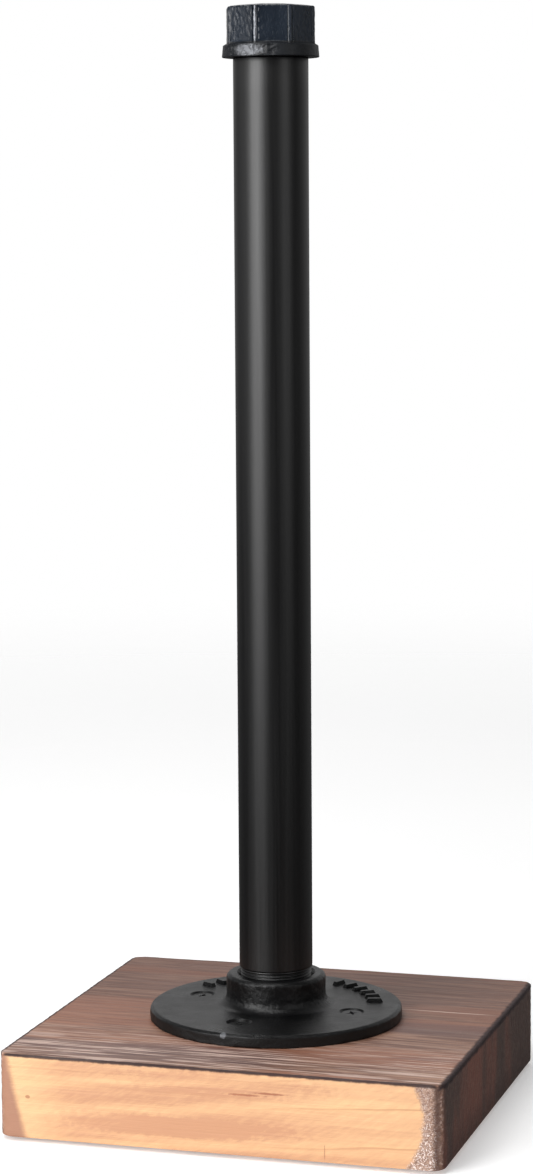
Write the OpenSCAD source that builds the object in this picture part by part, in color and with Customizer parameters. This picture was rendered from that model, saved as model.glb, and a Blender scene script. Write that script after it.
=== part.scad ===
// Paper towel holder: an iron pipe post, screwed into a floor flange on a block of torched wood.
// Millimetres, +Z up. The origin is on the table, under the middle of the post.
// The block's long sides and its grain run along X.

/* [Wood block] */
// Length of the block along its grain
block_w = 161; // [140:1:220]
// Depth of the block across its grain
block_d = 150; // [130:1:220]
// Thickness of the block
block_t = 30; // [27:0.5:45]
// Radius of the block's upright corners
block_corner_r = 5.5; // [2:0.5:10]
// Width of the eased edges around the block's top and underside
block_ease = 0.8; // [0.4:0.2:1.6]

/* [Pipe post] */
// Outside diameter of the pipe
pipe_od = 26.7; // [24:0.1:28]
// Wall thickness of the pipe
pipe_wall = 2.87; // [2:0.01:4]
// Length of the pipe, thread to thread
pipe_len = 355.6; // [250:0.1:450]
// How far the threaded ends lie below the pipe's surface
thread_relief = 0.35; // [0.2:0.05:0.6]
// Length of thread that stays in view above the hub
thread_show = 2.4; // [1:0.1:6]
// Bevel on the rim of each pipe end
pipe_bevel = 0.8; // [0.2:0.1:1.2]

/* [Floor flange] */
// Diameter of the flange
flange_d = 91.6; // [86:0.1:110]
// Thickness of the flange's plate at its rim
flange_t = 4.6; // [3.5:0.1:6]
// How much thicker the plate is where the fillet starts
plate_rise = 0.4; // [0:0.1:1.5]
// Radius of the plate's rounded upper edge
flange_round_r = 1.3; // [0.4:0.1:1.6]
// Height of the hub's top above the block
hub_h = 16.5; // [14:0.5:20]
// Thickness of the hub's wall outside the pipe
hub_wall = 4.65; // [3.5:0.05:5]
// Radius of the hub's rounded upper edge
hub_round_r = 1.8; // [0.4:0.1:2]
// Radius of the fillet between the plate and the hub
hub_fillet_r = 4; // [3:0.5:7]
// How far the pipe stops short of the block
pipe_gap = 2.7; // [1:0.1:4]
// Width of the bevel inside the mouths of the hub and the cap
mouth_bevel = 1; // [0.5:0.1:1.5]

/* [Flange screws] */
// Diameter of the circle that the screws stand on
screw_circle_d = 61; // [60:0.1:68]
// Angle from +X to the first screw
screw_turn = -9.6; // [-45:0.1:45]
// Length of a screw, head to point
screw_len = 25; // [19:1:26]
// Diameter of a screw's shank
shank_d = 4.2; // [3.5:0.1:4.8]
// Diameter of a screw's head
head_d = 7.7; // [7:0.1:8.2]
// Diameter of a countersink's mouth
countersink_d = 9.2; // [9:0.1:10]

/* [End cap] */
// Height of the whole cap
cap_h = 18.7; // [17.5:0.1:24]
// Height of the round band at the cap's mouth, with its shoulder
cap_band_h = 5; // [4:0.1:7]
// Thickness of the band outside the pipe
cap_band_wall = 3.9; // [3.6:0.1:4.5]
// How far the octagon's corners stand outside the pipe
cap_corner_wall = 3.3; // [2.8:0.05:3.5]
// Turn of the octagon's first corner from +X
cap_turn = -3.2; // [-22.5:0.1:22.5]
// Thickness of the cap's closed end
cap_end_t = 4; // [3:0.5:5]
// Length of pipe inside the cap
cap_grip = 11.8; // [9:0.1:12.5]

/* [Foot pads] */
// Diameter of a foot pad
pad_d = 20; // [12:1:26]
// Thickness of a foot pad
pad_t = 1.5; // [1:0.5:3]
// Distance from the block's sides to a pad's middle
pad_inset = 16; // [14:1:30]

/* [Hidden] */
$fn = 96;
corner_fn = 32;                            // facets on the block's small corner rounds
run_gap = 0.08;                            // radial room between a thread and its mate
seat_gap = 0.05;                           // room between a screw and the pieces that it holds
cut = 1;                                   // how far a cutter passes a face
screw_count = 4;
pad_count = 4;
pipe_r = pipe_od / 2;
thread_r = pipe_r - thread_relief;
socket_r = thread_r + run_gap;
hub_r = pipe_r + hub_wall;
flange_r = flange_d / 2;
shank_r = shank_d / 2;
head_r = head_d / 2;
countersink_r = countersink_d / 2;
screw_hole_r = shank_r + 0.3;
screw_circle_r = screw_circle_d / 2;
fillet_end_r = hub_r + hub_fillet_r;       // where the fillet runs out on the plate
plate_t = flange_t + plate_rise;
screw_face = flange_t + plate_rise * (flange_r - screw_circle_r) / (flange_r - fillet_end_r);
head_rim_t = 0.4;                          // straight rim above the head's cone
cone_h = head_r - shank_r;                 // height of the head's cone
point_len = 5;
recess_len = 4.6;                          // reach of the cross recess
recess_w = 1.1;
recess_depth = 1.6;
band_taper = 0.35;                         // the band narrows by this towards its shoulder
shoulder_h = 0.9;                          // height of the slope from the band up to the octagon's flats
block_top = pad_t + block_t;
hub_top = block_top + hub_h;
pipe_bottom = block_top + pipe_gap;
pipe_top = pipe_bottom + pipe_len;
cap_bottom = pipe_top - cap_grip;
low_thread_len = hub_top + thread_show - pipe_bottom;
head_z = screw_face - (countersink_r - head_r - head_rim_t) + 1.5 * seat_gap;  // above the block

// A copy of the children on each screw's own axis, at the height of the block's top.
module at_screw(i) {
    rotate(screw_turn + (i - 1) * 360 / screw_count)
        translate([screw_circle_r, 0, block_top])
            children();
}

// A pad's place under each corner of the block, counted round from the +X +Y corner.
module at_pad(i) {
    side_x = i == 1 || i == 4 ? 1 : -1;
    side_y = i < 3 ? 1 : -1;
    translate([side_x * (block_w / 2 - pad_inset), side_y * (block_d / 2 - pad_inset), 0])
        children();
}

// A cylinder that stands on z and has a bevelled rim at both ends.
module bevelled_rod(r, z, h, bevel) {
    translate([0, 0, z]) {
        cylinder(h = bevel, r1 = r - bevel, r2 = r);
        translate([0, 0, bevel]) cylinder(h = h - 2 * bevel, r = r);
        translate([0, 0, h - bevel]) cylinder(h = bevel, r1 = r, r2 = r - bevel);
    }
}

// The block's outer shape: four upright rods, thinner at their ends, with a skin around them.
module block_shape() {
    hull()
        for (side_x = [-1, 1], side_y = [-1, 1])
            translate([
                side_x * (block_w / 2 - block_corner_r),
                side_y * (block_d / 2 - block_corner_r),
                pad_t]) {
                translate([0, 0, block_ease])
                    cylinder(h = block_t - 2 * block_ease, r = block_corner_r, $fn = corner_fn);
                cylinder(h = block_t, r = block_corner_r - block_ease, $fn = corner_fn);
            }
}

// The block, drilled for the four screws.
module wood_block() {
    pilot_depth = screw_len - flange_t + cut;
    color("peru")
        difference() {
            block_shape();
            for (i = [1:screw_count])
                at_screw(i)
                    translate([0, 0, -pilot_depth]) cylinder(h = pilot_depth + cut, r = shank_r + seat_gap);
        }
}

// Half of the flange's section: the plate with its rounded edge, the hub and the fillet.
module flange_section() {
    polygon([
        [0, 0],
        [flange_r, 0],
        [flange_r, flange_t - flange_round_r],
        [flange_r - flange_round_r, flange_t],
        [fillet_end_r, plate_t],
        [0, plate_t]]);
    translate([flange_r - flange_round_r, flange_t - flange_round_r]) circle(r = flange_round_r);
    square([hub_r, hub_h - hub_round_r]);
    square([hub_r - hub_round_r, hub_h]);
    translate([hub_r - hub_round_r, hub_h - hub_round_r]) circle(r = hub_round_r);
    difference() {
        square([fillet_end_r, plate_t + hub_fillet_r]);
        translate([fillet_end_r, plate_t + hub_fillet_r]) circle(r = hub_fillet_r);
    }
}

// A round flange with a hub that the post screws into, and four countersunk holes.
module floor_flange() {
    mouth_r = pipe_r + mouth_bevel;
    color("dimgray")
        difference() {
            translate([0, 0, block_top]) rotate_extrude() flange_section();
            translate([0, 0, block_top - cut]) cylinder(h = hub_h + 2 * cut, r = socket_r);
            translate([0, 0, hub_top - mouth_r + socket_r])
                cylinder(h = mouth_r - socket_r + cut, r1 = socket_r, r2 = mouth_r + cut);
            for (i = [1:screw_count])
                at_screw(i) {
                    translate([0, 0, -cut]) cylinder(h = flange_t + 2 * cut, r = screw_hole_r);
                    translate([0, 0, screw_face - countersink_r])
                        cylinder(h = countersink_r + cut, r1 = 0, r2 = countersink_r + cut);
                }
        }
}

// A flat-headed wood screw with a cross recess, its head sunk in the flange.
module flange_screw(i) {
    cone_z = -head_rim_t - cone_h;
    color("black")
        at_screw(i)
            translate([0, 0, head_z])
                difference() {
                    union() {
                        translate([0, 0, -head_rim_t]) cylinder(h = head_rim_t, r = head_r);
                        translate([0, 0, cone_z]) cylinder(h = cone_h, r1 = shank_r, r2 = head_r);
                        translate([0, 0, point_len - screw_len])
                            cylinder(h = screw_len - point_len + cone_z, r = shank_r);
                        translate([0, 0, -screw_len]) cylinder(h = point_len, r1 = 0, r2 = shank_r);
                    }
                    for (turn = [0, 90])
                        rotate(turn)
                            translate([-recess_len / 2, -recess_w / 2, -recess_depth])
                                cube([recess_len, recess_w, recess_depth + cut]);
                }
}

// The hollow post, with a threaded end in the flange and another in the cap.
module post_pipe() {
    color("black")
        difference() {
            union() {
                bevelled_rod(thread_r, pipe_bottom, pipe_len, pipe_bevel);
                translate([0, 0, pipe_bottom + low_thread_len])
                    cylinder(h = pipe_len - low_thread_len - cap_grip, r = pipe_r);
            }
            translate([0, 0, pipe_bottom - cut]) cylinder(h = pipe_len + 2 * cut, r = pipe_r - pipe_wall);
        }
}

// The cast cap: an octagon to hold with a wrench, over a round band.
module end_cap() {
    band_r = pipe_r + cap_band_wall;
    corner_r = pipe_r + cap_corner_wall;
    flat_r = corner_r * cos(22.5);
    top_r = band_r - band_taper;
    color("#20242a")
        translate([0, 0, cap_bottom])
            difference() {
                union() {
                    cylinder(h = cap_band_h - shoulder_h, r1 = band_r, r2 = top_r);
                    translate([0, 0, cap_band_h - shoulder_h])
                        cylinder(h = shoulder_h, r1 = top_r, r2 = flat_r);
                    rotate(cap_turn) cylinder(h = cap_h, r = corner_r, $fn = 8);
                }
                translate([0, 0, -cut]) cylinder(h = cap_h - cap_end_t + cut, r = socket_r);
                translate([0, 0, -cut])
                    cylinder(h = mouth_bevel + cut, r1 = socket_r + mouth_bevel + cut, r2 = socket_r);
            }
}

// A thin anti-slip disc under the block.
module foot_pad(i) {
    color("#303030")
        at_pad(i)
            cylinder(h = pad_t, d = pad_d);
}

wood_block();
floor_flange();
for (i = [1:screw_count])
    flange_screw(i);
post_pipe();
end_cap();
for (i = [1:pad_count])
    foot_pad(i);
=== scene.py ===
"""The looks of a paper towel holder: a capped iron pipe in a floor flange on a torched block of pine.

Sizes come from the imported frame. Lengths are in metres; MM turns the small ones into millimetres.
"""

import math

import bpy
from mathutils import Matrix, Vector


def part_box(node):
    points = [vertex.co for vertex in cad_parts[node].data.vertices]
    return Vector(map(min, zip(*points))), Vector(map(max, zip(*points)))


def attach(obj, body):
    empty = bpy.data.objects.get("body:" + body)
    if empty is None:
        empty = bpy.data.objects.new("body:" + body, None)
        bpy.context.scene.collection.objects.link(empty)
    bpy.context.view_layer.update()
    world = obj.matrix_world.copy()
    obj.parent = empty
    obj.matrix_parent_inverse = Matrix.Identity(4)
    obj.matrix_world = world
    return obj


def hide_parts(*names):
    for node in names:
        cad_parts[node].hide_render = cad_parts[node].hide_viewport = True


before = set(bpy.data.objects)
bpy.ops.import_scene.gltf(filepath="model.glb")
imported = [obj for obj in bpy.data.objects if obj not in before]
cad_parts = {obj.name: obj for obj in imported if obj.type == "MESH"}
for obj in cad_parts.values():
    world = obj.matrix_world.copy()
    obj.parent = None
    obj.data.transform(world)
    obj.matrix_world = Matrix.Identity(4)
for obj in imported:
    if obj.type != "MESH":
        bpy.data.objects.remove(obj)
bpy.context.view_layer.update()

MM = 0.001
TURN = 2 * math.pi

# ---- sizes that the pieces share

BLOCK_LOW, BLOCK_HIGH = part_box("wood_block")
BLOCK_HALF = (BLOCK_HIGH - BLOCK_LOW) / 2
BLOCK_TOP = BLOCK_HIGH.z
BLOCK_CORNER_R = 5.5 * MM
BLOCK_EASE = 0.8 * MM

FLANGE_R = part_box("floor_flange")[1].x
RIM_TOP = BLOCK_TOP + 4.6 * MM
PLATE_HIGH = RIM_TOP + 0.4 * MM
HUB_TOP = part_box("floor_flange")[1].z
HUB_R = 18 * MM
FILLET_R = 4 * MM

PIPE_LOW, PIPE_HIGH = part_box("post_pipe")
PIPE_R = PIPE_HIGH.x
PIPE_BORE_R = PIPE_R - 2.87 * MM

THREAD_R = PIPE_R - 0.35 * MM
THREAD_PITCH = 1.05 * MM
THREAD_PHASE = 0.69
MATE_R = THREAD_R + 0.08 * MM
MATE_DEPTH = -0.45 * MM
THREAD_END = HUB_TOP + 2.4 * MM

CAP_LOW, CAP_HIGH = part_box("end_cap")
CAP_BAND_R = CAP_HIGH.x
CAP_BAND_TOP = CAP_LOW.z + 4.1 * MM
CAP_SHOULDER_H = 0.9 * MM
CAP_CORNER_R = PIPE_R + 3.3 * MM
CAP_TURN = math.radians(-3.2)
CAP_END_T = 4 * MM

SCREWS = [f"flange_screw_{i}" for i in range(1, 5)]
PADS = [f"foot_pad_{i}" for i in range(1, 5)]
SCREW_HEAD_R = 3.85 * MM
SCREW_SHANK_R = 2.1 * MM
COUNTERSINK_R = 4.6 * MM
SCREW_FACE = BLOCK_TOP + 4.86 * MM
SCREW_CIRCLE_R = 30.5 * MM
SCREW_TURN = math.radians(-9.6)
SCREW_LEN = 25 * MM
SCREW_POINT_LEN = 5 * MM
PILOT_DEPTH = 21.4 * MM
PILOT_ROOM = 0.05 * MM
SCREW_HOLE_ROOM = 0.3 * MM


# ---- node trees, written as sums

class Field:
    """What a node puts out, such as a number that changes from place to place, with plain arithmetic."""

    def __init__(self, socket):
        self.socket = socket

    def calc(self, operation, *values):
        inputs = dict(enumerate((self, *values)))
        return Field(put(self.socket.id_data, "ShaderNodeMath", inputs, operation=operation).outputs[0])

    def __add__(self, other):
        return self.calc("ADD", other)

    def __sub__(self, other):
        return self.calc("SUBTRACT", other)

    def __mul__(self, other):
        return self.calc("MULTIPLY", other)

    def __truediv__(self, other):
        return self.calc("DIVIDE", other)

    def __rsub__(self, other):
        return self * -1.0 + other

    def __neg__(self):
        return self.calc("MULTIPLY", -1.0)

    def __abs__(self):
        return self.calc("ABSOLUTE")

    def fade(self, start, end, low=0.0, high=1.0):
        """Turns smoothly from low to high as the number goes from start to end."""
        inputs = {"Value": self, "From Min": start, "From Max": end, "To Min": low, "To Max": high}
        tree = self.socket.id_data
        return Field(put(tree, "ShaderNodeMapRange", inputs, interpolation_type="SMOOTHSTEP").outputs[0])


def send(value, socket):
    """Gives a socket a plain value, or a link from another node."""
    value = value.socket if isinstance(value, Field) else value
    if isinstance(value, bpy.types.NodeSocket):
        socket.id_data.links.new(value, socket)
    else:
        socket.default_value = value


def put(tree, kind, inputs=None, **settings):
    """A new node, with its settings and its inputs."""
    node = tree.nodes.new(kind)
    for name, value in settings.items():
        setattr(node, name, value)
    for key, value in (inputs or {}).items():
        send(value, node.inputs[key])
    return node


def point(operation, place, *values):
    """Arithmetic on places and directions."""
    tree = place.socket.id_data
    inputs = dict(enumerate((place, *values)))
    return Field(put(tree, "ShaderNodeVectorMath", inputs, operation=operation).outputs[0])


def length(place):
    node = put(place.socket.id_data, "ShaderNodeVectorMath", {0: place}, operation="LENGTH")
    return Field(node.outputs["Value"])


def scaled(place, factor):
    node = put(place.socket.id_data, "ShaderNodeVectorMath", {0: place, "Scale": factor}, operation="SCALE")
    return Field(node.outputs[0])


def split(place):
    node = put(place.socket.id_data, "ShaderNodeSeparateXYZ", {0: place})
    return [Field(output) for output in node.outputs]


def join(tree, **axes):
    return Field(put(tree, "ShaderNodeCombineXYZ", axes).outputs[0])


def stretch(place, x, y, z):
    """The place, scaled along each axis, so that a pattern runs long where the number is small."""
    return point("MULTIPLY", place, (x, y, z))


def noise(place, scale=1.0, detail=2.0, rough=0.5, seed=0.0):
    inputs = {"Vector": place, "W": seed, "Scale": scale, "Detail": detail, "Roughness": rough}
    node = put(place.socket.id_data, "ShaderNodeTexNoise", inputs, noise_dimensions="4D")
    return Field(node.outputs[0])


def blend(factor, first, second):
    """Two colours mixed by a factor."""
    node = put(factor.socket.id_data, "ShaderNodeMix", {0: factor, 6: first, 7: second}, data_type="RGBA")
    return Field(node.outputs[2])


def new_group(name, kind, inputs, outputs):
    """An empty node group. Returns it with what it is given and where its results go, both by name."""
    tree = bpy.data.node_groups.new(name, kind)
    for label, socket_type, value in inputs:
        socket = tree.interface.new_socket(label, in_out="INPUT", socket_type=socket_type)
        if value is not None:
            socket.default_value = value
    for label, socket_type in outputs:
        tree.interface.new_socket(label, in_out="OUTPUT", socket_type=socket_type)
    entry, end = tree.nodes.new("NodeGroupInput"), tree.nodes.new("NodeGroupOutput")
    return tree, {socket.name: Field(socket) for socket in entry.outputs}, end.inputs


def use_group(tree, group, inputs):
    """A group's node inside another tree. Returns what it puts out, by name."""
    kind = "GeometryNodeGroup" if group.bl_idname == "GeometryNodeTree" else "ShaderNodeGroup"
    node = tree.nodes.new(kind)
    node.node_tree = group
    for key, value in inputs.items():
        send(value, node.inputs[key])
    return {socket.name: Field(socket) for socket in node.outputs}


# ---- shader groups

FLOAT, VECTOR = "NodeSocketFloat", "NodeSocketVector"


def growth_group():
    """Pine's yearly rings round a pith outside the block, and the fibres along its grain.

    Place is in millimetres. Ring climbs from 0, early wood, to 1, late wood, and drops back.
    """
    tree, given, result = new_group(
        "growth", "ShaderNodeTree",
        [("Place", VECTOR, None), ("Pith Y", FLOAT, 150.0), ("Pith Z", FLOAT, -60.0),
         ("Spacing", FLOAT, 3.6), ("Slope", FLOAT, 0.075), ("Waver", FLOAT, 2.6)],
        [("Ring", FLOAT), ("Fibre", FLOAT), ("Hair", FLOAT), ("Patch", FLOAT)])
    place = given["Place"]
    x, y, z = split(place)
    waver = noise(stretch(place, 0.011, 0.03, 0.03), detail=2, seed=3.1) - 0.5
    across = y - given["Pith Y"]
    down = z - x * given["Slope"] - given["Pith Z"]
    distance = (across * across + down * down).calc("SQRT") + waver * given["Waver"]
    send((distance / given["Spacing"]).calc("FRACT"), result["Ring"])
    send(noise(stretch(place, 0.018, 0.9, 0.9), detail=4, rough=0.62, seed=1.7), result["Fibre"])
    send(noise(stretch(place, 0.05, 2.6, 2.6), detail=3, rough=0.6, seed=8.3), result["Hair"])
    send(noise(stretch(place, 0.012, 0.05, 0.05), detail=2, seed=5.9), result["Patch"])
    return tree


def cast_group():
    """The skin of a sand casting. Skin is its bumps, Mottle its slow changes, Fleck its pale specks."""
    tree, given, result = new_group(
        "cast_skin", "ShaderNodeTree",
        [("Place", VECTOR, None), ("Grain", FLOAT, 0.5), ("Seed", FLOAT, 0.0), ("Fleck Share", FLOAT, 0.03)],
        [("Skin", FLOAT), ("Mottle", FLOAT), ("Fleck", FLOAT)])
    place = given["Place"]
    scale = given["Grain"].calc("POWER", -1.0)
    fine = noise(place, scale, detail=4, rough=0.65, seed=given["Seed"])
    coarse = noise(place, scale * 0.22, detail=2, seed=given["Seed"])
    send(fine * 0.6 + coarse * 0.4, result["Skin"])
    send(noise(place, scale * 0.07, detail=3, seed=given["Seed"]), result["Mottle"])
    edge = 0.84 - given["Fleck Share"]
    send(noise(place, scale * 0.6, detail=1, seed=given["Seed"]).fade(edge, edge + 0.03), result["Fleck"])
    return tree


def dress(shader, **looks):
    """Gives the shader's inputs their values or links. An underscore stands for a space."""
    for name, value in looks.items():
        send(value, shader.inputs[name.replace("_", " ")])


def new_material(name, roughness, ior=1.5, specular=0.5):
    """A material with a Principled shader. Returns it, its shader and the place in millimetres."""
    material = bpy.data.materials.new(name)
    material.use_nodes = True
    tree = material.node_tree
    shader = next(node for node in tree.nodes if node.type == "BSDF_PRINCIPLED")
    dress(shader, Roughness=roughness, IOR=ior, Specular_IOR_Level=specular)
    place = Field(put(tree, "ShaderNodeTexCoord").outputs["Object"])
    return material, shader, scaled(place, 1 / MM)


def bump(shader, height, strength, distance):
    """Feeds a height to the shader's normal. The distance is in metres."""
    inputs = {"Height": height, "Strength": strength, "Distance": distance}
    dress(shader, Normal=Field(put(shader.id_data, "ShaderNodeBump", inputs).outputs[0]))


def tone(red, green, blue):
    """A colour given as it looks on a screen, 0 to 255, turned into light."""
    return tuple(((value / 255 + 0.055) / 1.055) ** 2.4 for value in (red, green, blue)) + (1.0,)


# ---- materials

def blemish(place, middle, size, rag):
    """How much of a small mark shows, such as a check or a pin knot. Middle and size are in millimetres."""
    inverse = tuple(1 / extent for extent in size)
    away = length(point("MULTIPLY", point("SUBTRACT", place, middle), inverse))
    return (away + rag).fade(1.0, 0.6)


def bare_pine(place, grown, ragged):
    """The long sides: pale early wood, clouds of tan, ripples that lean along the grain and a few marks."""
    x, _, z = split(place)
    from_right, from_left = BLOCK_HALF.x / MM - x, x + BLOCK_HALF.x / MM
    leaning = join(place.socket.id_data, X=(x - z * 1.7) * 0.5, Y=(z + x * 0.15) * 0.3)
    ripple = noise(leaning, detail=3, rough=0.6, seed=6.4) - 0.5
    ring = grown["Ring"].fade(0.0, 0.4) * grown["Ring"].fade(1.0, 0.7)
    cloud = (ring * 0.5 + 0.3) * grown["Patch"].fade(0.28, 0.58, 0.6, 1.15)
    front = -BLOCK_HALF.y / MM
    rag = ragged * 1.6
    for middle, size in (((5, front, 26.5), (44, 9, 5)), ((-19, front, 10), (58, 9, 4.5))):
        cloud = cloud + blemish(place, middle, size, rag) * 0.28
    cloud = cloud * from_left.fade(4, 30, 0.1, 1.0) * from_right.fade(8, 80, 0.6, 1.0)
    streak = grown["Fibre"] - 0.5
    early_wood, tan = tone(234, 187, 139), tone(200, 148, 113)
    colour = blend(cloud + ripple * 0.9 + streak, early_wood, tan)
    line = grown["Ring"].fade(0.9, 0.97) * grown["Ring"].fade(1.0, 0.98) * from_left.fade(70, 155, 0.0, 0.5)
    colour = blend(line, colour, tone(176, 116, 80))
    colour = blend(grown["Hair"].fade(0.58, 0.78, 0.0, 0.35), colour, tone(196, 138, 98))
    checks_and_knot = [((10, front, 23.2), (9, 9, 0.5), 0.7), ((20, front, 24.2), (8, 9, 0.45), 0.7),
                       ((-69, front, 16.5), (1, 9, 0.7), 0.6), ((39, front, 5.2), (0.3, 9, 3.2), 0.5)]
    for middle, size, shade in checks_and_knot:
        colour = blend(blemish(place, middle, size, rag) * shade, colour, tone(150, 84, 56))
    return colour


def stained_pine(place, grown):
    """The top and the underside: grey brown with reddish rows, thin dark lines, pale scrapes and painted
    shade towards the back.
    """
    x, y, _ = split(place)
    drift = noise(stretch(place, 0.008, 0.05, 0.05), detail=2.5, seed=5.2) - 0.5
    streak = noise(stretch(place, 0.03, 0.42, 0.42), detail=4, rough=0.72, seed=2.9)
    scrape = noise(stretch(place, 0.035, 0.85, 0.85), detail=3, rough=0.6, seed=6.1)
    colour = blend(streak.fade(0.38, 0.62), tone(116, 80, 65), tone(172, 132, 110))
    warm = drift.fade(0.0, 0.1) * 0.6
    for middle, half, shade in ((0, 12, 0.8), (-46, 17, 0.55), (75, 9, 0.6)):
        warm = warm + abs(y + drift * 26 - middle).fade(half, half * 0.3) * x.fade(-70, 60, 0.3, shade)
    colour = blend(warm.calc("MINIMUM", 0.75), colour, tone(168, 110, 84))
    colour = blend(drift.fade(-0.06, -0.14, 0.0, 0.6), colour, tone(104, 80, 78))
    colour = blend(grown["Ring"].fade(0.84, 0.97, 0.0, 0.35), colour, tone(74, 50, 46))
    colour = blend(grown["Hair"].fade(0.42, 0.32, 0.0, 0.4), colour, tone(84, 60, 54))
    # Painted shade: the top darkens towards the back, partly the stain's own tone and partly shade painted
    # in where the top turns from the light.
    colour = blend(y.fade(-55, 50, 0.0, 0.6), colour, tone(98, 64, 53))
    scraped = scrape.fade(0.5, 0.6) * (y + drift * 30).fade(-15, -66, 0.05, 0.9)
    scraped = scraped + blemish(place, (60, 21.5, BLOCK_TOP / MM), (26, 0.7, 9), drift) * 0.8
    return blend(scraped.calc("MINIMUM", 0.9), colour, tone(214, 184, 170))


def end_pine(place, grown, ragged):
    """End grain, which soaks up more: dark red brown in soft upright bands."""
    bands = noise(stretch(place, 0.05, 0.055, 0.014), detail=2, seed=7.7)
    colour = blend(bands.fade(0.38, 0.6), tone(76, 54, 46), tone(112, 64, 48))
    colour = blend(grown["Ring"].fade(0.6, 0.95, 0.0, 0.3), colour, tone(60, 40, 34))
    colour = blend((ragged + 0.5).fade(0.45, 0.7, 0.0, 0.3), colour, tone(110, 78, 64))
    low_down = split(place)[2].fade(14, 3, 0.0, 0.45)
    return blend(low_down, colour, tone(64, 38, 32))


def burnt_pine(place, ragged):
    """Where the flame wrapped round the right end: brown, with painted glints as pale specks low down, dark
    near the corner.
    """
    x, _, z = split(place)
    from_right = BLOCK_HALF.x / MM - x
    speckle = noise(place, 1.5, detail=3, rough=0.7, seed=4.0)
    colour = blend(speckle.fade(0.36, 0.62), tone(128, 94, 78), tone(180, 148, 130))
    # Painted highlights: the pale specks low down stand in for glints off the rough, glossy char.
    pale = noise(place, 2.2, detail=2, rough=0.6, seed=9.4).fade(0.5, 0.62) * z.fade(28, 8, 0.3, 1.0)
    colour = blend(pale, colour, tone(240, 226, 220))
    return blend((from_right + ragged * 3).fade(4.4, 2.2, 0.0, 0.85), colour, tone(84, 54, 44))


def pine_material(growth):
    """Pine, torched and stained on its top and its ends, and left pale on its long sides."""
    material, shader, place = new_material("torched_pine", roughness=0.55)
    grown = use_group(material.node_tree, growth, {"Place": place})
    x, y, z = split(place)
    ragged = noise(place, 0.35, detail=4, rough=0.6, seed=2.2) - 0.5
    from_side = BLOCK_HALF.y / MM - abs(y)
    from_top = BLOCK_TOP / MM - z
    from_right, from_left = BLOCK_HALF.x / MM - x, x + BLOCK_HALF.x / MM

    is_end = from_right.fade(1.4, 0.3) + from_left.fade(1.4, 0.3)
    dark = blend(is_end, stained_pine(place, grown), end_pine(place, grown, ragged))

    wedge = from_top * 0.24 + 3.4 + ragged * 2.0
    left_burn = (from_left - wedge).fade(1.6, -1.6)
    middle = (from_top - 13.0) / 13.0
    reach = middle * middle * 3.2 + 7.0 + ragged * 5.0
    right_burn = (from_right - reach).fade(1.3, -1.0)
    pale = blend(left_burn, bare_pine(place, grown, ragged), tone(170, 124, 100))
    pale = blend(right_burn, pale, burnt_pine(place, ragged))
    is_side = from_side.fade(3.4, 0.8) * (1.0 - is_end) * from_top.fade(0.4, 1.0)
    colour = blend(is_side, dark, pale)

    corner = [first.calc("MAXIMUM", second) for first, second in
              ((from_top, from_side), (from_top, from_right), (from_top, from_left))]
    edge = corner[0].calc("MINIMUM", corner[1] * 0.55).calc("MINIMUM", corner[2] * 0.8) + ragged * 1.1
    charred = edge.fade(1.4, 0.6, 0.0, 0.92)
    dress(shader, Base_Color=blend(charred, colour, tone(42, 24, 27)),
          Roughness=grown["Fibre"].fade(0.3, 0.75, 0.62, 0.46) + charred * 0.2)
    crust = noise(place, 1.5, detail=3, rough=0.7, seed=4.0) * right_burn * 1.5
    bump(shader, grown["Hair"] + grown["Fibre"] * 1.4 + crust, 0.5, 0.25 * MM)
    return material


def iron_material(name, cast, tint, seed, grain, roughness, ior, depth, worn, dull_below, tall=1.0):
    """Black-coated cast iron: a sandy skin, slow mottling, a few pale specks, and spots of bare metal: real
    wear on the flange, painted highlights on the cap.

    Each worn spot is its middle and size in millimetres and how much of the coat has gone. Under the height
    dull_below the coat is darker and rougher. With tall under 1 the skin is drawn out upwards.
    """
    material, shader, place = new_material(name, roughness, ior)
    drawn = stretch(place, 1.0, 1.0, tall)
    skin = use_group(material.node_tree, cast, {"Place": drawn, "Grain": grain, "Seed": seed})
    light = tuple(1.6 * value for value in tint[:3]) + (1.0,)
    colour = blend(skin["Mottle"].fade(0.35, 0.65), tint, light)
    dull = split(place)[2].fade(dull_below, dull_below - 0.4)
    colour = blend(dull * 0.7, colour, tone(3, 3, 4))
    colour = blend(skin["Fleck"] * 0.5, colour, tone(170, 170, 168))
    bare = skin["Fleck"] * 0.3
    # Each spot in worn turns the coat to bare metal: the flange's nick is real wear, the cap's two spots are
    # painted highlights.
    for middle, size, share in worn:
        bare = bare + blemish(place, middle, size, skin["Skin"] * 1.6 - 0.8) * share
    dress(shader, Base_Color=blend(bare, colour, tone(150, 152, 157)), Metallic=bare,
          Roughness=skin["Mottle"].fade(0.3, 0.7, roughness - 0.06, roughness + 0.08) + dull * 0.2)
    bump(shader, skin["Skin"], 0.8, depth)
    return material


def flange_iron(cast):
    """The flange's coat: nearly black, duller down the rim's side, with one nick at the front."""
    nick = ((-6.3, -45.4, RIM_TOP / MM - 0.6), (1.2, 1.4, 1.6), 0.4)
    return iron_material("black_iron_flange", cast, tone(7, 7, 8), seed=1.0, grain=0.8, roughness=0.33,
                         ior=1.4, depth=0.4 * MM, worn=(nick,), dull_below=RIM_TOP / MM - 0.8)


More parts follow.
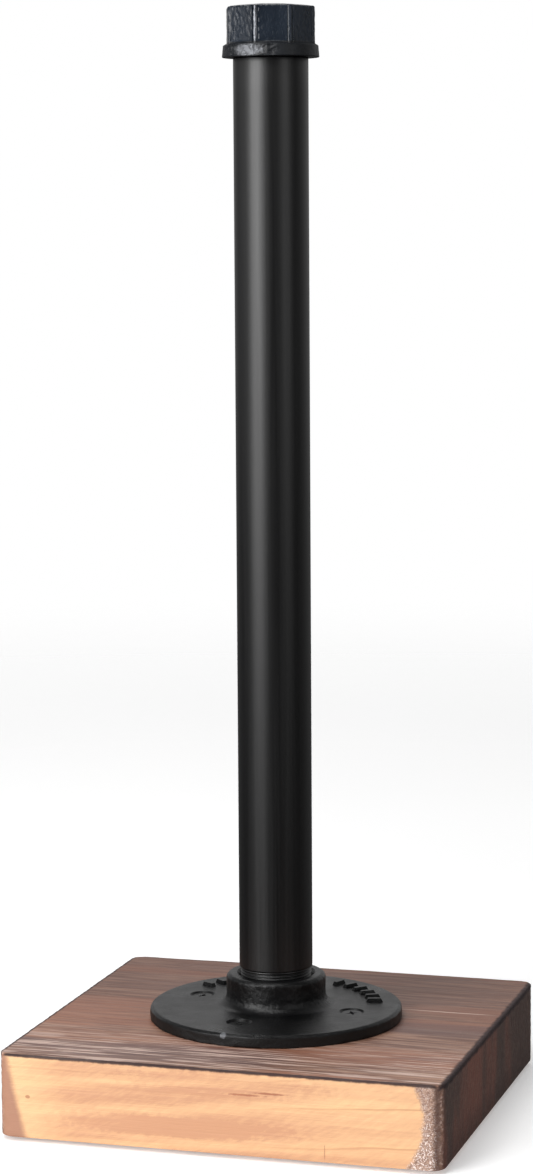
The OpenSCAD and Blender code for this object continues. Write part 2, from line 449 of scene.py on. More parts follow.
def cap_iron(cast):
    """The cap's coat: bluish, darker on the band, with two painted highlights in bare metal: a patch on the
    band's front left and a strip down the front corner.
    """
    corner = CAP_TURN - TURN / 4
    corner_x, corner_y = (CAP_CORNER_R / MM * part for part in (math.cos(corner), math.sin(corner)))
    # Painted highlight: a pale bare-metal patch where the light falls on the band's crumpled front left.
    painted_band_highlight = ((-3.6, -16.9, CAP_LOW.z / MM + 2.1), (6.8, 5, 2.5), 0.5)
    # Painted highlight: a bare-metal strip down the front corner, where that corner catches the key light.
    edge = ((corner_x, corner_y, CAP_LOW.z / MM + 12.5), (0.9, 0.9, 9), 0.6)
    band_top = (CAP_BAND_TOP + CAP_SHOULDER_H) / MM + 0.3
    return iron_material("black_iron_cap", cast, tone(16, 24, 34), seed=5.0, grain=0.7, roughness=0.3,
                         ior=1.5, depth=0.3 * MM, worn=(painted_band_highlight, edge), dull_below=band_top, tall=0.45)


def pipe_material(cast):
    """Satin black pipe: a smooth coat with fine drawing lines along its length."""
    material, shader, place = new_material("satin_black_pipe", roughness=0.38, ior=1.6)
    lines = noise(stretch(place, 1.4, 1.4, 0.012), detail=3, rough=0.5, seed=1.1)
    skin = use_group(material.node_tree, cast, {"Place": place, "Grain": 0.35, "Seed": 2.0})
    colour = blend(lines.fade(0.3, 0.7), tone(5, 5, 6), tone(11, 11, 12))
    dress(shader, Base_Color=blend(skin["Fleck"] * 0.3, colour, tone(110, 110, 110)),
          Roughness=lines.fade(0.3, 0.7, 0.36, 0.41))
    bump(shader, lines * 0.2 + skin["Skin"] * 0.5, 0.25, 0.04 * MM)
    return material


def screw_material(cast):
    """Black oxide on steel, worn paler where the driver has rubbed."""
    material, shader, place = new_material("black_oxide", roughness=0.34)
    skin = use_group(material.node_tree, cast, {"Place": place, "Grain": 0.3, "Seed": 7.0})
    rub = skin["Mottle"].fade(0.56, 0.7)
    dress(shader, Base_Color=blend(rub, tone(10, 10, 11), tone(60, 60, 62)), Metallic=rub * 0.8)
    bump(shader, skin["Skin"], 0.7, 0.1 * MM)
    return material


def pad_material():
    """Matt black foam rubber with open pores."""
    material, shader, place = new_material("foam_rubber", roughness=0.85)
    pores = noise(place, 2.6, detail=3, rough=0.6, seed=9.0)
    dress(shader, Base_Color=blend(pores.fade(0.3, 0.7), tone(22, 22, 23), tone(52, 52, 54)),
          Roughness=pores.fade(0.3, 0.7, 0.78, 0.94))
    bump(shader, pores, 0.6, 0.15 * MM)
    return material


# ---- geometry trees

GEOMETRY, INTEGER, MATERIAL = "NodeSocketGeometry", "NodeSocketInt", "NodeSocketMaterial"


def geometry_group(name, inputs):
    inputs = [("Geometry", GEOMETRY, None)] + inputs + [("Material", MATERIAL, None)]
    return new_group(name, "GeometryNodeTree", inputs, [("Geometry", GEOMETRY)])


def close_tree(tree, geometry, given, result):
    """Ends a tree with real geometry and its material."""
    real = put(tree, "GeometryNodeRealizeInstances", {0: geometry}).outputs[0]
    made = put(tree, "GeometryNodeSetMaterial", {"Geometry": real, "Material": given["Material"]}).outputs[0]
    send(Field(made), result["Geometry"])


def shifted(tree, geometry, offset):
    return Field(put(tree, "GeometryNodeSetPosition", {"Geometry": geometry, "Offset": offset}).outputs[0])


def moved(tree, geometry, **inputs):
    return Field(put(tree, "GeometryNodeTransform", {"Geometry": geometry, **inputs}).outputs[0])


def thread_tree():
    """Cuts a screw thread round the Z axis. A negative depth cuts outwards, as in a bore."""
    tree, given, result = geometry_group("cut_thread", [
        ("Pitch", FLOAT, THREAD_PITCH), ("Depth", FLOAT, 0.5 * MM), ("Phase", FLOAT, THREAD_PHASE),
        ("Bottom", FLOAT, 0.0), ("Top", FLOAT, 0.01), ("Run Out", FLOAT, 0.001),
        ("Least Radius", FLOAT, 0.0), ("Most Radius", FLOAT, 1.0)])
    place = Field(put(tree, "GeometryNodeInputPosition").outputs[0])
    x, y, z = split(place)
    flat = point("MULTIPLY", place, (1, 1, 0))
    radius = length(flat)
    turns = y.calc("ARCTAN2", x) / TURN
    part = (z / given["Pitch"] - turns + given["Phase"]).calc("FRACT")
    groove = abs(part * 2.0 - 1.0).fade(0.12, 0.92)
    level = z.fade(given["Bottom"] - given["Run Out"], given["Bottom"])
    level = level * z.fade(given["Top"] + given["Run Out"], given["Top"])
    inside = radius.calc("GREATER_THAN", given["Least Radius"])
    inside = inside * radius.calc("LESS_THAN", given["Most Radius"])
    offset = scaled(point("NORMALIZE", flat), -(groove * given["Depth"] * level * inside))
    close_tree(tree, shifted(tree, given["Geometry"], offset), given, result)
    return tree


def roughen_tree():
    """Sinks a surface by an uneven amount, up to Height, between two levels and outside a radius.

    Sides that face Toward, by a cosine over Spread, get the full height, and the rest the share Elsewhere.
    """
    tree, given, result = geometry_group("roughen", [
        ("Height", FLOAT, 0.0001), ("Grain", FLOAT, 0.002), ("Seed", FLOAT, 0.0), ("Low", FLOAT, -1.0),
        ("High", FLOAT, 1.0), ("Fade", FLOAT, 0.0005), ("Least Radius", FLOAT, 0.0),
        ("Stretch", VECTOR, (1, 1, 1)), ("Toward", VECTOR, (0, -1, 0)), ("Spread", FLOAT, -1.0),
        ("Elsewhere", FLOAT, 1.0)])
    place = Field(put(tree, "GeometryNodeInputPosition").outputs[0])
    normal = Field(put(tree, "GeometryNodeInputNormal").outputs[0])
    z = split(place)[2]
    flat = point("MULTIPLY", place, (1, 1, 0))
    lumps = noise(point("MULTIPLY", place, given["Stretch"]), given["Grain"].calc("POWER", -1.0),
                  detail=3, rough=0.55, seed=given["Seed"])
    level = z.fade(given["Low"] - given["Fade"], given["Low"])
    level = level * z.fade(given["High"] + given["Fade"], given["High"])
    away = point("MULTIPLY", point("NORMALIZE", flat), given["Toward"])
    facing = split(away)[0] + split(away)[1]
    share = facing.fade(given["Spread"] - 0.15, given["Spread"] + 0.05, given["Elsewhere"], 1.0)
    not_under = split(normal)[2].calc("GREATER_THAN", -0.5)
    shown = length(flat).calc("GREATER_THAN", given["Least Radius"]) * not_under
    sink = lumps.fade(0.3, 0.7) * given["Height"] * level * share * shown
    close_tree(tree, shifted(tree, given["Geometry"], scaled(normal, -sink)), given, result)
    return tree


def drill_tree():
    """Drills a ring of countersunk holes. With no mouth radius the holes are plain."""
    tree, given, result = geometry_group("drill_ring", [
        ("Count", INTEGER, 4), ("Circle Radius", FLOAT, 0.03), ("Turn", FLOAT, 0.0),
        ("Hole Radius", FLOAT, 0.002), ("Mouth Radius", FLOAT, 0.0), ("Face", FLOAT, 0.0),
        ("Bottom", FLOAT, -0.01)])
    spare, segments = 1 * MM, 48
    inputs = {"Vertices": given["Count"], "Radius": given["Circle Radius"]}
    ring = Field(put(tree, "GeometryNodeMeshCircle", inputs).outputs[0])
    ring = moved(tree, ring, Rotation=join(tree, Z=given["Turn"]))
    mouth_top = given["Mouth Radius"] + spare
    inputs = {"Vertices": segments, "Radius Top": mouth_top, "Radius Bottom": 0.0, "Depth": mouth_top}
    cone = put(tree, "GeometryNodeMeshCone", inputs)
    drill_h = given["Face"] - given["Bottom"] + spare
    inputs = {"Vertices": segments, "Radius": given["Hole Radius"], "Depth": drill_h}
    drill = put(tree, "GeometryNodeMeshCylinder", inputs)
    inputs = {"Mesh 1": given["Geometry"]}
    cut = put(tree, "GeometryNodeMeshBoolean", inputs, operation="DIFFERENCE", solver="EXACT")
    cutters = ((cone, given["Face"] - given["Mouth Radius"]), (drill, given["Bottom"] + drill_h / 2.0))
    for cutter, height in cutters:
        raised = moved(tree, Field(cutter.outputs["Mesh"]), Translation=join(tree, Z=height))
        copies = put(tree, "GeometryNodeInstanceOnPoints", {"Points": ring, "Instance": raised}).outputs[0]
        real = put(tree, "GeometryNodeRealizeInstances", {0: Field(copies)}).outputs[0]
        send(Field(real), cut.inputs["Mesh 2"])
    close_tree(tree, Field(cut.outputs["Mesh"]), given, result)
    return tree


def marks_tree():
    """Adds a row of alike raised bars with sloping sides to a casting's face, set out as on a dial."""
    tree, given, result = geometry_group("raised_marks", [
        ("Count", INTEGER, 6), ("Radius", FLOAT, 0.036), ("First", FLOAT, 0.2), ("Step", FLOAT, 0.14),
        ("Face", FLOAT, 0.0), ("Length", FLOAT, 0.0032), ("Width", FLOAT, 0.0009), ("Height", FLOAT, 0.0014),
        ("Seed", INTEGER, 3)])
    row = Field(put(tree, "GeometryNodeMeshLine", {"Count": given["Count"]}, mode="OFFSET").outputs[0])
    index = Field(put(tree, "GeometryNodeInputIndex").outputs[0])
    angle = given["First"] + index * given["Step"]
    inputs = {"Min": 0.85, "Max": 1.0, "ID": index, "Seed": given["Seed"]}
    vary = put(tree, "FunctionNodeRandomValue", inputs, data_type="FLOAT")
    vary = Field(next(socket for socket in vary.outputs if socket.enabled))
    radius = given["Radius"]
    spot = join(tree, X=radius * angle.calc("COSINE"), Y=radius * angle.calc("SINE"), Z=given["Face"])
    row = Field(put(tree, "GeometryNodeSetPosition", {"Geometry": row, "Position": spot}).outputs[0])
    corner_r, taper = math.sqrt(2), 0.75
    inputs = {"Vertices": 4, "Radius Top": taper * corner_r, "Radius Bottom": corner_r, "Depth": 1.0}
    bar = Field(put(tree, "GeometryNodeMeshCone", inputs).outputs["Mesh"])
    bar = moved(tree, bar, Rotation=(0, 0, TURN / 8))
    size = join(tree, X=given["Length"] * vary, Y=given["Width"], Z=given["Height"])
    inputs = {"Points": row, "Instance": bar, "Rotation": join(tree, Z=angle), "Scale": size}
    copies = put(tree, "GeometryNodeInstanceOnPoints", inputs).outputs[0]
    bars = Field(put(tree, "GeometryNodeRealizeInstances", {0: Field(copies)}).outputs[0])
    joined = put(tree, "GeometryNodeMeshBoolean", operation="UNION", solver="EXACT")
    send(given["Geometry"], joined.inputs["Mesh 2"])
    send(bars, joined.inputs["Mesh 2"])
    close_tree(tree, Field(joined.outputs["Mesh"]), given, result)
    return tree


def screw_tree(thread):
    """Takes a turned blank, threads its shank, sinks a cross recess in its head and sets it in its place."""
    tree, given, result = geometry_group("make_screw", [
        ("Pitch", FLOAT, 0.0018), ("Depth", FLOAT, 0.0006), ("Bottom", FLOAT, -0.02), ("Top", FLOAT, -0.005),
        ("Recess Reach", FLOAT, 0.0026), ("Recess Depth", FLOAT, 0.002), ("Recess Slim", FLOAT, 0.28),
        ("Place", VECTOR, None), ("Turn", VECTOR, None)])
    passed = {name: given[name] for name in ("Geometry", "Pitch", "Depth", "Bottom", "Top", "Material")}
    blank = use_group(tree, thread, {**passed, "Run Out": 1.5 * MM})["Geometry"]
    spare = 0.5 * MM
    reach = given["Recess Reach"]
    inputs = {"Vertices": 4, "Radius Top": reach * 1.2, "Radius Bottom": reach * 0.35,
              "Depth": given["Recess Depth"] + spare}
    wing = Field(put(tree, "GeometryNodeMeshCone", inputs).outputs["Mesh"])
    lift = join(tree, Z=-given["Recess Depth"])
    recess = put(tree, "GeometryNodeMeshBoolean", {"Mesh 1": blank}, operation="DIFFERENCE", solver="EXACT")
    slim = given["Recess Slim"]
    for size in (join(tree, X=1.0, Y=slim, Z=1.0), join(tree, X=slim, Y=1.0, Z=1.0)):
        send(moved(tree, wing, Translation=lift, Scale=size), recess.inputs["Mesh 2"])
    done = moved(tree, Field(recess.outputs["Mesh"]), Translation=given["Place"], Rotation=given["Turn"])
    close_tree(tree, done, given, result)
    return tree


# ---- making pieces

def new_object(name, points, faces, material):
    mesh = bpy.data.meshes.new(name)
    mesh.from_pydata(points, [], faces)
    mesh.materials.append(material)
    mesh.validate()
    piece = bpy.data.objects.new(name, mesh)
    bpy.context.scene.collection.objects.link(piece)
    return piece


def shape_with(piece, tree, **values):
    """Adds a geometry tree with its named inputs. An underscore stands for a space."""
    modifier = piece.modifiers.new(tree.name, "NODES")
    modifier.node_group = tree
    wanted = {name.replace("_", " "): value for name, value in values.items()}
    wanted["Material"] = piece.data.materials[0]
    for item in tree.interface.items_tree:
        if item.in_out == "INPUT" and item.name in wanted:
            modifier[item.identifier] = wanted.pop(item.name)
    if wanted:
        raise ValueError(f"{tree.name} has no input named {sorted(wanted)}")


def settle(piece, sharp):
    """Turns the piece into the plain mesh its modifiers make, smooth but for edges over a sharp angle."""
    made = piece.evaluated_get(bpy.context.evaluated_depsgraph_get())
    mesh = bpy.data.meshes.new_from_object(made)
    piece.modifiers.clear()
    piece.data = mesh
    mesh.name = piece.name
    mesh.shade_smooth()
    mesh.set_sharp_from_angle(angle=math.radians(sharp))


def hand_over(piece, body, node):
    """Puts the piece on the body it rides on and hides the solid it stands for."""
    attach(piece, body)
    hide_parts(node)


def skin_rings(name, rings, material, closed):
    """Skins a stack of equal rings. A closed stack joins its last ring to its first, others are capped."""
    count = len(rings[0])
    points = [place for ring in rings for place in ring]
    faces = []
    for low in range(len(rings) if closed else len(rings) - 1):
        high = (low + 1) % len(rings)
        for k in range(count):
            after = (k + 1) % count
            faces.append((low * count + k, low * count + after, high * count + after, high * count + k))
    if not closed:
        faces.append(tuple(range(count))[::-1])
        faces.append(tuple(range(len(points) - count, len(points))))
    return new_object(name, points, faces, material)


def circle(radius, height, segments, middle=(0.0, 0.0)):
    turns = [TURN * k / segments for k in range(segments)]
    return [(middle[0] + radius * math.cos(a), middle[1] + radius * math.sin(a), height) for a in turns]


def arc(middle_r, middle_z, radius, start, end, steps):
    """Points (r, z) along an arc of a section. Angles are in degrees, from outwards towards up."""
    turns = [math.radians(start + (end - start) * k / steps) for k in range(steps + 1)]
    return [(middle_r + radius * math.cos(a), middle_z + radius * math.sin(a)) for a in turns]


def run(start, end, step, soft=False):
    """Points (r, z) from start to just before end, about a step apart. A soft run eases its radius."""
    count = max(1, round(math.dist(start, end) / step))
    points = []
    for share in (k / count for k in range(count)):
        eased = share * share * (3 - 2 * share) if soft else share
        points.append((start[0] + (end[0] - start[0]) * eased, start[1] + (end[1] - start[1]) * share))
    return points


# ---- pieces

def block_lines(half, step):
    """Where the block's lattice lines lie across one of its sides: close together near the corners."""
    fine = [half - BLOCK_EASE * share for share in (0, 0.25, 0.5, 0.75, 1)]
    fine += [half - BLOCK_EASE - (BLOCK_CORNER_R - BLOCK_EASE) * share for share in (0.2, 0.4, 0.6, 0.8, 1)]
    flat = fine[-1]
    count = round(2 * flat / step)
    return [-v for v in fine] + [-flat + 2 * flat * k / count for k in range(1, count)] + fine[::-1]


def block_point(x, y, z):
    """Where a point of the square box lies once the upright corners are rounded and the edges eased."""
    plan = [x, y]
    over = [abs(x) - BLOCK_HALF.x + BLOCK_CORNER_R, abs(y) - BLOCK_HALF.y + BLOCK_CORNER_R]
    if min(over) > 0:
        shrink = max(over) / math.hypot(*over)
        outward = Vector((math.copysign(over[0], x), math.copysign(over[1], y))).normalized()
        plan = [math.copysign(abs(v) - o + o * shrink, v) for v, o in zip(plan, over)]
        inside = BLOCK_CORNER_R - max(over)
    else:
        side = 0 if BLOCK_HALF.x - abs(x) < BLOCK_HALF.y - abs(y) else 1
        outward = Vector((math.copysign(1 - side, x), math.copysign(side, y)))
        inside = BLOCK_HALF[side] - abs(plan[side])
    depth = BLOCK_HALF.z - abs(z)
    if inside < BLOCK_EASE and depth < BLOCK_EASE:
        lean = math.radians(45) * (1 + (depth - inside) / BLOCK_EASE)
        back = BLOCK_EASE * (1 - math.sin(lean)) - inside
        plan = [plan[0] - outward[0] * back, plan[1] - outward[1] * back]
        z = math.copysign(BLOCK_HALF.z - BLOCK_EASE * (1 - math.cos(lean)), z)
    middle = (BLOCK_LOW + BLOCK_HIGH) / 2
    return (middle.x + plan[0], middle.y + plan[1], middle.z + z)


def wood_block(material, roughen, drill):
    """The block: a lattice over its six sides, bent round its corners, with raised grain and pilot holes."""
    steps = (2.2 * MM, 0.9 * MM, 1.2 * MM)
    lines = [block_lines(half, step) for half, step in zip(BLOCK_HALF, steps)]
    index, points, faces = {}, [], []

    def vertex(spot):
        if spot not in index:
            index[spot] = len(points)
            points.append(block_point(*(line[step] for line, step in zip(lines, spot))))
        return index[spot]

    last = [len(line) - 1 for line in lines]
    for fixed in range(3):
        a, b = [axis for axis in range(3) if axis != fixed]
        for end in (0, last[fixed]):
            for u in range(last[a]):
                for v in range(last[b]):
                    corners = []
                    for du, dv in ((0, 0), (1, 0), (1, 1), (0, 1)):
                        spot = [end] * 3
                        spot[a], spot[b] = u + du, v + dv
                        corners.append(vertex(tuple(spot)))
                    outward = (end > 0) == (fixed != 1)
                    faces.append(tuple(corners if outward else corners[::-1]))
    piece = new_object("pine_block", points, faces, material)
    shape_with(piece, roughen, Height=0.22 * MM, Grain=1.6 * MM, Seed=4.0, Stretch=(0.04, 1.0, 1.0))
    shape_with(piece, drill, Circle_Radius=SCREW_CIRCLE_R, Turn=SCREW_TURN,
               Hole_Radius=SCREW_SHANK_R + PILOT_ROOM, Mouth_Radius=SCREW_SHANK_R,
               Face=BLOCK_TOP, Bottom=BLOCK_TOP - PILOT_DEPTH)
    settle(piece, 50)
    hand_over(piece, "base", "wood_block")


def floor_flange(material, thread, roughen, drill, marks):
    """The flange casting: plate, fillet and hub turned as one, then threaded, pitted, marked and drilled."""
    rim_r, lip_r, foot_bevel, mouth_r = 1.3 * MM, 1.8 * MM, 0.4 * MM, PIPE_R + 1 * MM
    mouth_low = HUB_TOP - mouth_r + MATE_R
    fillet_end = HUB_R + FILLET_R
    foot_top = BLOCK_TOP + foot_bevel
    section = run((MATE_R, BLOCK_TOP), (MATE_R, mouth_low), 0.2 * MM)
    section += run((MATE_R, mouth_low), (mouth_r, HUB_TOP), 0.3 * MM)
    section += run((mouth_r, HUB_TOP), (HUB_R - lip_r, HUB_TOP), 0.5 * MM)
    section += arc(HUB_R - lip_r, HUB_TOP - lip_r, lip_r, 90, 0, 10)
    section += run((HUB_R, HUB_TOP - lip_r), (HUB_R, PLATE_HIGH + FILLET_R), 0.6 * MM)[1:]
    section += arc(fillet_end, PLATE_HIGH + FILLET_R, FILLET_R, 180, 268, 14)
    section += run((fillet_end, PLATE_HIGH), (FLANGE_R - rim_r, RIM_TOP), 0.7 * MM)[1:]
    section += arc(FLANGE_R - rim_r, RIM_TOP - rim_r, rim_r, 89, 0, 9)
    section += run((FLANGE_R, RIM_TOP - rim_r), (FLANGE_R, foot_top), 0.6 * MM)[1:]
    section += [(FLANGE_R, foot_top)]
    section += run((FLANGE_R - foot_bevel, BLOCK_TOP), (MATE_R, BLOCK_TOP), 3 * MM)
    rings = [circle(r, z, segments=208) for r, z in section]
    piece = skin_rings("iron_flange", rings, material, closed=True)
    shape_with(piece, thread, Depth=MATE_DEPTH, Bottom=BLOCK_TOP - 1 * MM, Top=HUB_TOP - 1.5 * MM,
               Most_Radius=MATE_R + 0.01 * MM)
    outside = mouth_r - 0.01 * MM
    shape_with(piece, roughen, Height=0.2 * MM, Grain=1.5 * MM, Seed=1.0, Least_Radius=outside)
    shape_with(piece, roughen, Height=0.25 * MM, Grain=16 * MM, Seed=2.0, Least_Radius=outside,
               High=PLATE_HIGH + 1 * MM, Fade=1 * MM)
    face = PLATE_HIGH - 0.3 * MM
    shape_with(piece, marks, First=math.radians(18), Step=math.radians(9.5), Face=face)
    shape_with(piece, marks, Count=2, First=math.radians(141), Step=math.radians(9.5), Face=face, Seed=8)
    shape_with(piece, drill, Circle_Radius=SCREW_CIRCLE_R, Turn=SCREW_TURN,
               Hole_Radius=SCREW_SHANK_R + SCREW_HOLE_ROOM, Mouth_Radius=COUNTERSINK_R,
               Face=SCREW_FACE, Bottom=BLOCK_TOP - 1 * MM)
    settle(piece, 40)
    hand_over(piece, "base", "floor_flange")


def flange_screws(material, make_screw):
    """Four countersunk screws, each turned home to its own angle."""
    rim, sunk, tip_r, step, most_lean = 0.4 * MM, 0.35 * MM, 0.1 * MM, 0.2 * MM, 3
    neck = -rim - SCREW_HEAD_R + SCREW_SHANK_R
    shank_end = SCREW_POINT_LEN - SCREW_LEN
    section = [(0.6 * SCREW_HEAD_R, 0.0), (SCREW_HEAD_R - 0.15 * MM, 0.0), (SCREW_HEAD_R, -0.12 * MM)]
    section += run((SCREW_HEAD_R, -rim), (SCREW_SHANK_R, neck), 0.4 * MM)
    section += run((SCREW_SHANK_R, neck), (SCREW_SHANK_R, shank_end), step)
    section += run((SCREW_SHANK_R, shank_end), (tip_r, -SCREW_LEN), step)
    section += [(tip_r, -SCREW_LEN)]
    rings = [circle(r, z, segments=40) for r, z in section[::-1]]
    for number, node in enumerate(SCREWS):
        low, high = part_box(node)
        piece = skin_rings(f"countersunk_screw_{number + 1}", rings, material, closed=False)
        place = Vector(((low.x + high.x) / 2, (low.y + high.y) / 2, high.z - sunk))
        angles = (most_lean * math.cos(2.1 * number), most_lean * math.sin(1.3 * number), 28 + 67 * number)
        turn = [math.radians(angle) for angle in angles]
        shape_with(piece, make_screw, Bottom=shank_end, Top=-7 * MM, Place=place, Turn=turn)
        settle(piece, 35)
        hand_over(piece, "base", node)


def post_pipe(material, thread):
    """The hollow post, with a thread cut at each end."""
    bevel, neck, step = 0.8 * MM, 0.5 * MM, 0.15 * MM
    low, high, thread_start = PIPE_LOW.z, PIPE_HIGH.z, CAP_LOW.z
    section = [(PIPE_BORE_R, low), (THREAD_R - bevel, low)]
    section += run((THREAD_R, low + bevel), (THREAD_R, THREAD_END - neck), step)
    section += run((THREAD_R, THREAD_END - neck), (PIPE_R, THREAD_END), 0.08 * MM, soft=True)
    section += run((PIPE_R, THREAD_END), (PIPE_R, THREAD_END + 2 * MM), step)
    section += run((PIPE_R, THREAD_END + 2 * MM), (PIPE_R, thread_start - neck), 12 * MM)
    section += run((PIPE_R, thread_start - neck), (THREAD_R, thread_start), 0.1 * MM, soft=True)
    section += run((THREAD_R, thread_start), (THREAD_R, high - bevel), step)
    section += [(THREAD_R, high - bevel), (THREAD_R - bevel, high)]
    section += run((PIPE_BORE_R, high), (PIPE_BORE_R, low), 24 * MM)
    rings = [circle(r, z, segments=144) for r, z in section]
    piece = skin_rings("steel_pipe", rings, material, closed=True)
    wall, past = PIPE_BORE_R + 1 * MM, 2 * MM
    shape_with(piece, thread, Bottom=low - past, Top=THREAD_END - 0.6 * MM, Run_Out=1.6 * MM,
               Least_Radius=wall)
    shape_with(piece, thread, Bottom=thread_start + 0.8 * MM, Top=high + past, Run_Out=0.8 * MM,
               Least_Radius=wall)
    settle(piece, 60)
    hand_over(piece, "post", "post_pipe")


def octagon_reach(angle, flat_r, corner_round):
    """How far an octagon with rounded corners reaches at an angle."""
    side = TURN / 8
    from_corner = (angle - CAP_TURN + side / 2) % side - side / 2
    straight = flat_r / math.cos(side / 2 - abs(from_corner))
    centre = (flat_r - corner_round) / math.cos(side / 2)
    under = corner_round ** 2 - (centre * math.sin(from_corner)) ** 2
    return min(straight, centre * math.cos(from_corner) + math.sqrt(under)) if under > 0 else straight


def end_cap(material, thread, roughen):
    """The cap casting: an octagon with softened corners on a round, crumpled band, and a threaded socket."""
    flat_r = CAP_CORNER_R * math.cos(TURN / 16)
    corner_round, edge_r, band_ease, dome, lip = 1.1 * MM, 0.7 * MM, 0.3 * MM, 1 * MM, 1 * MM
    low, high = CAP_LOW.z, CAP_HIGH.z
    band_top_r = CAP_BAND_R - 0.35 * MM
    shoulder_top = CAP_BAND_TOP + CAP_SHOULDER_H
    socket_top, edge_top = high - CAP_END_T, high - dome
    angles = []
    for side in range(8):
        corner = math.degrees(CAP_TURN) + side * 45
        angles += [math.radians(corner + 0.6 * step) for step in range(-7, 8)]
        angles += [math.radians(corner + 4.2 + 36.6 * step / 24) for step in range(1, 24)]

    def ring(height, flat, band=0.0):
        """One level: whichever reaches further, the octagon or the band, with a soft seam between them."""
        points = []
        for angle in angles:
            octagon = octagon_reach(angle, flat, corner_round) if flat else 0.0
            soft = max(0.0, 0.25 * MM - abs(octagon - band))
            reach = max(octagon, band) + soft * soft / MM
            points.append((reach * math.cos(angle), reach * math.sin(angle), height))
        return points

    def turned(section):
        """Round levels, one for each point (r, z) of a section."""
        return [ring(z, 0.0, r) for r, z in section]

    rings = turned(arc(CAP_BAND_R - band_ease, low + band_ease, band_ease, -90, 0, 4))
    rings += turned(run((CAP_BAND_R, low + band_ease), (band_top_r, CAP_BAND_TOP), 0.25 * MM)[1:])
    shoulder = run((band_top_r, CAP_BAND_TOP), (flat_r, shoulder_top), 0.15 * MM)
    rings += [ring(z, flat_r, r) for r, z in shoulder]
    rings += [ring(z, flat_r) for r, z in run((0.0, shoulder_top), (0.0, edge_top - edge_r), 0.4 * MM)]
    rings += [ring(z, flat_r - edge_r + r) for r, z in arc(0.0, edge_top - edge_r, edge_r, 0, 85, 7)]
    for share in (0.9, 0.75, 0.6, 0.45, 0.3, 0.15, 0.05):
        top = high - dome * share * share
        rings.append([(x * share, y * share, top) for x, y, _ in ring(top, flat_r - edge_r)])
    socket_ease = 0.5 * MM
    rings += turned((r, socket_top) for r in (0.3 * MM, 0.5 * MATE_R, MATE_R - socket_ease))
    rings += turned(run((MATE_R, socket_top - socket_ease), (MATE_R, low + lip), 0.2 * MM))
    rings += turned(run((MATE_R, low + lip), (MATE_R + lip, low), 0.3 * MM))
    rings += turned([(MATE_R + lip, low)])
    piece = skin_rings("iron_cap", rings, material, closed=True)
    blind = 1.6 * MM
    shape_with(piece, thread, Depth=MATE_DEPTH, Bottom=low + blind, Top=socket_top - blind,
               Run_Out=0.8 * MM, Most_Radius=MATE_R + 0.01 * MM)
    outside = MATE_R + 1 * MM
    front_left, left_facet = [(math.cos(angle), math.sin(angle), 0.0)
                              for angle in (math.radians(-102), CAP_TURN - TURN * 5 / 16)]
    shape_with(piece, roughen, Height=0.28 * MM, Grain=0.85 * MM, Seed=5.0, Stretch=(1, 1, 0.5),
               Low=shoulder_top + 0.5 * MM, Least_Radius=outside,
               Toward=left_facet, Spread=0.9, Elsewhere=0.4)
    shape_with(piece, roughen, Height=0.6 * MM, Grain=1.5 * MM, Seed=6.0,
               Low=low + 0.4 * MM, High=CAP_BAND_TOP - 0.2 * MM, Fade=0.6 * MM, Least_Radius=outside,
               Toward=front_left, Spread=0.88, Elsewhere=0.12)
    settle(piece, 60)
    hand_over(piece, "cap", "end_cap")


def foot_pads(material):
    """Four foam pads: low discs with soft rims and a shallow moulded ring underneath."""
    soft = 0.35 * MM
    for number, node in enumerate(PADS):
        low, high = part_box(node)
        middle = ((low.x + high.x) / 2, (low.y + high.y) / 2)
        radius = (high.x - low.x) / 2
        centre_r, groove_r, groove_top = 0.3 * MM, radius * 0.62, 0.25 * MM
        section = run((centre_r, 0.0), (groove_r, 0.0), 1 * MM)
        section += [(groove_r, 0.0), (radius * 0.64, groove_top), (radius * 0.7, groove_top)]
        section += run((radius * 0.72, 0.0), (radius - soft, 0.0), 0.8 * MM)
        section += arc(radius - soft, soft, soft, -90, 0, 5)
        section += arc(radius - soft, high.z - soft, soft, 0, 90, 5)
        section += [(radius * 0.5, high.z), (centre_r, high.z)]
        rings = [circle(r, z, 72, middle) for r, z in section]
        piece = skin_rings(f"foam_pad_{number + 1}", rings, material, closed=False)
        settle(piece, 35)
        hand_over(piece, "base", node)


# ---- studio

AZIMUTH, ELEVATION, ROLL = math.radians(16.591), math.radians(6.886), math.radians(-0.356)
EYE_DISTANCE = 1126 * MM
EYE_AIM_HEIGHT = 188.16 * MM
EYE_AIM_ASIDE = -2.633 * MM
LENS = 95.8


def heading(azimuth, elevation):
    """A direction. Azimuth turns from the front, -Y, towards +X, and elevation from level towards up."""
    flat = math.cos(elevation)
    return Vector((math.sin(azimuth) * flat, -math.cos(azimuth) * flat, math.sin(elevation)))


def camera():
    """Looks a little down on the holder, from its front right."""
    sight = heading(AZIMUTH, ELEVATION)
    right = Vector((math.cos(AZIMUTH), math.sin(AZIMUTH), 0))
    up = sight.cross(right)
    target = EYE_AIM_ASIDE * right + Vector((0, 0, BLOCK_LOW.z + EYE_AIM_HEIGHT))
    lens = bpy.data.cameras.new("camera")
    lens.lens = LENS
    lens.clip_end = 50
    eye = bpy.data.objects.new("camera", lens)
    level = math.cos(ROLL) * right + math.sin(ROLL) * up
    plumb = math.cos(ROLL) * up - math.sin(ROLL) * right
    turn = Matrix((level, plumb, sight)).transposed().to_4x4()
    eye.matrix_world = Matrix.Translation(target + EYE_DISTANCE * sight) @ turn
    bpy.context.scene.collection.objects.link(eye)
    bpy.context.scene.camera = eye


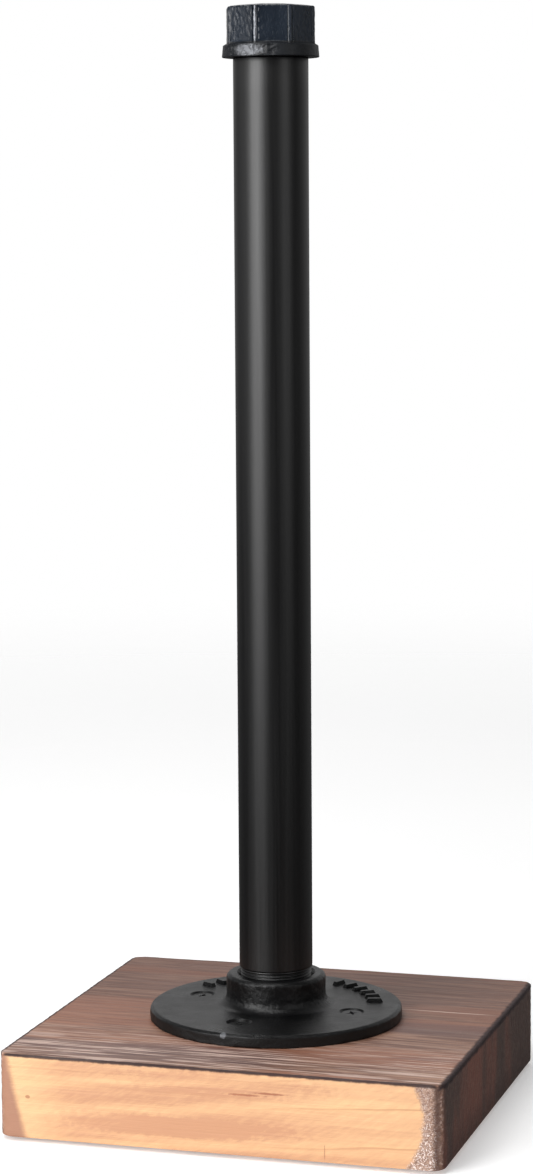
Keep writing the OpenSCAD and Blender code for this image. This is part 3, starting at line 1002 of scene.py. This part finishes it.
def softbox(name, azimuth, elevation, distance, aim, size, glow):
    """A rectangular light that faces a height on the post. Angles are in degrees, glow is its brightness."""
    target = Vector((0, 0, aim))
    away = heading(math.radians(azimuth), math.radians(elevation))
    data = bpy.data.lights.new(name, "AREA")
    data.shape = "RECTANGLE"
    data.size, data.size_y = size
    data.energy = glow * math.pi * size[0] * size[1]
    light = bpy.data.objects.new(name, data)
    light.location = target + away * distance
    light.rotation_euler = away.to_track_quat("Z", "Y").to_euler()
    bpy.context.scene.collection.objects.link(light)


def surroundings():
    """A white backdrop for the camera. Behind the holder it gives light; in front the room is dim."""
    world = bpy.data.worlds.new("studio")
    bpy.context.scene.world = world
    world.use_nodes = True
    tree = world.node_tree
    tree.nodes.clear()
    _, y, z = split(Field(put(tree, "ShaderNodeTexCoord").outputs["Generated"]))
    lit = y.fade(-0.1, 0.9, 0.05, 0.5) * z.fade(-0.15, 0.02, 0.2, 1.0)
    seen = Field(put(tree, "ShaderNodeLightPath").outputs["Is Camera Ray"])
    shine = put(tree, "ShaderNodeMix", {"Factor": seen, 2: lit, 3: 1.0}, data_type="FLOAT").outputs[0]
    inputs = {"Color": (1, 1, 1, 1), "Strength": Field(shine)}
    back = put(tree, "ShaderNodeBackground", inputs).outputs[0]
    put(tree, "ShaderNodeOutputWorld", {"Surface": Field(back)})


def table():
    """A plain white table top that fades out into the backdrop."""
    half, glow = 2.0, 0.36
    material, shader, place = new_material("white_table", roughness=0.9, specular=0.1)
    drift = noise(place, 0.003, detail=1)
    colour = blend(drift, (0.88, 0.88, 0.88, 1), (0.92, 0.92, 0.92, 1))
    dress(shader, Base_Color=colour, Emission_Color=colour, Emission_Strength=glow,
          Alpha=length(place).fade(500, 1500, 1.0, 0.0))
    corners = [(-half, -half, 0), (half, -half, 0), (half, half, 0), (-half, half, 0)]
    top = new_object("table_top", corners, [(0, 1, 2, 3)], material)
    top.visible_glossy = False


def studio():
    bpy.context.scene.view_settings.view_transform = "Standard"
    softbox("key", azimuth=-31, elevation=0, distance=1.5, aim=0.66, size=(1.05, 1.1), glow=6.2)
    softbox("side", azimuth=-78, elevation=0, distance=1.6, aim=0.6, size=(1.0, 0.9), glow=0.5)
    softbox("strip", azimuth=60, elevation=0, distance=1.6, aim=0.6, size=(0.8, 1.0), glow=1.25)
    softbox("high", azimuth=-14, elevation=58, distance=1.8, aim=0.1, size=(1.0, 1.0), glow=5.0)
    softbox("rear", azimuth=200, elevation=48, distance=1.9, aim=0.1, size=(1.0, 0.8), glow=2.5)
    surroundings()
    table()
    camera()


# ---- all of it

def build():
    growth, cast = growth_group(), cast_group()
    thread, roughen, drill, marks = thread_tree(), roughen_tree(), drill_tree(), marks_tree()
    wood_block(pine_material(growth), roughen, drill)
    floor_flange(flange_iron(cast), thread, roughen, drill, marks)
    flange_screws(screw_material(cast), screw_tree(thread))
    post_pipe(pipe_material(cast), thread)
    end_cap(cap_iron(cast), thread, roughen)
    foot_pads(pad_material())


build()
studio()
